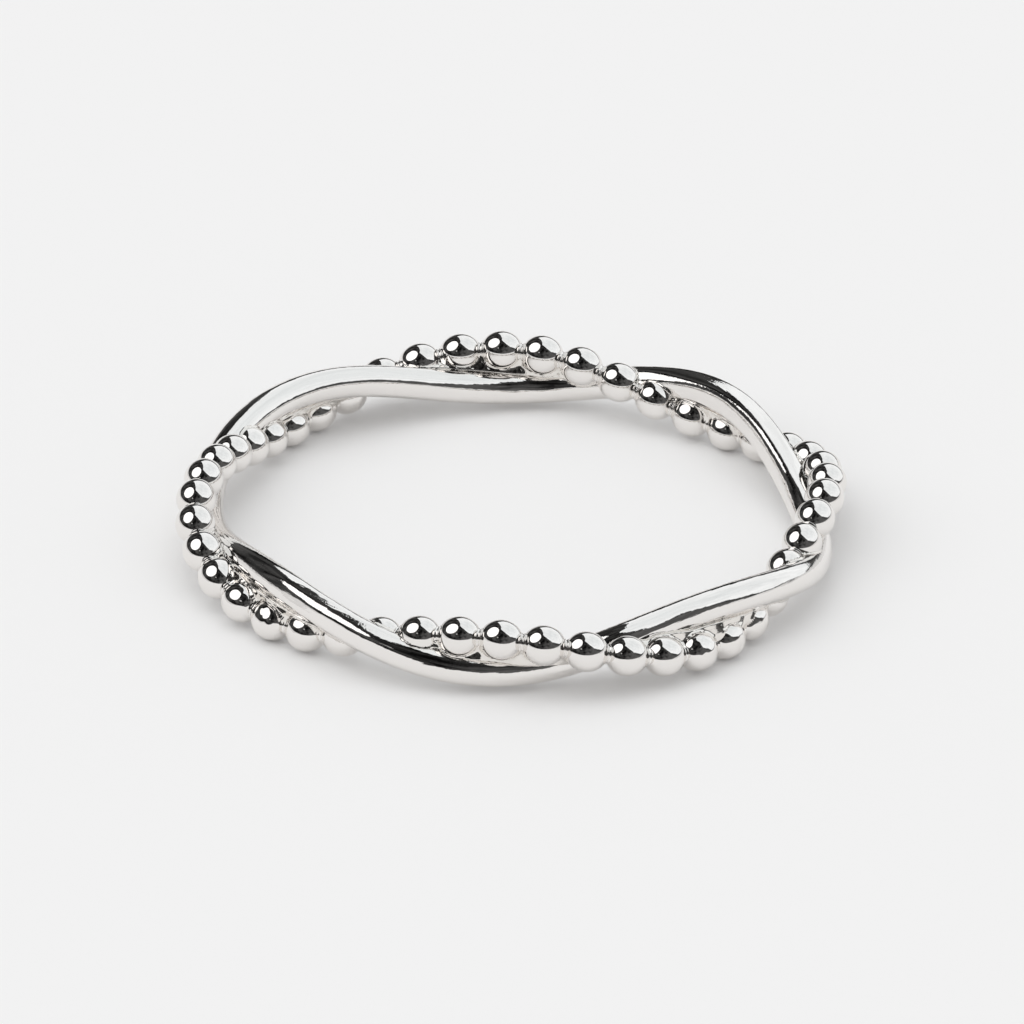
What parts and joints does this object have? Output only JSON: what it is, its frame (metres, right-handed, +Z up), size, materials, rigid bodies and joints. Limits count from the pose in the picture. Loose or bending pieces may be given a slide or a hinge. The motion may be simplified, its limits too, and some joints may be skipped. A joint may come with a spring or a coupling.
{
  "type": "woven ring",
  "caption": "Finger ring of a smooth round strand and a beaded strand wound round each other in one piece of polished metal, lying on its side.",
  "frame": {"origin": "on the surface the ring lies on, below the middle of the finger hole", "axes": "+Z up, along the axis of the finger hole; +X and +Y in the plane of the ring, with -Y towards the picture's camera and +X to its right"},
  "size_m": [0.021, 0.021, 0.0025],
  "materials": {
    "silver": "polished sterling silver"
  },
  "bodies": {
    "root": {"ring": "silver"}
  },
  "joints": []
}
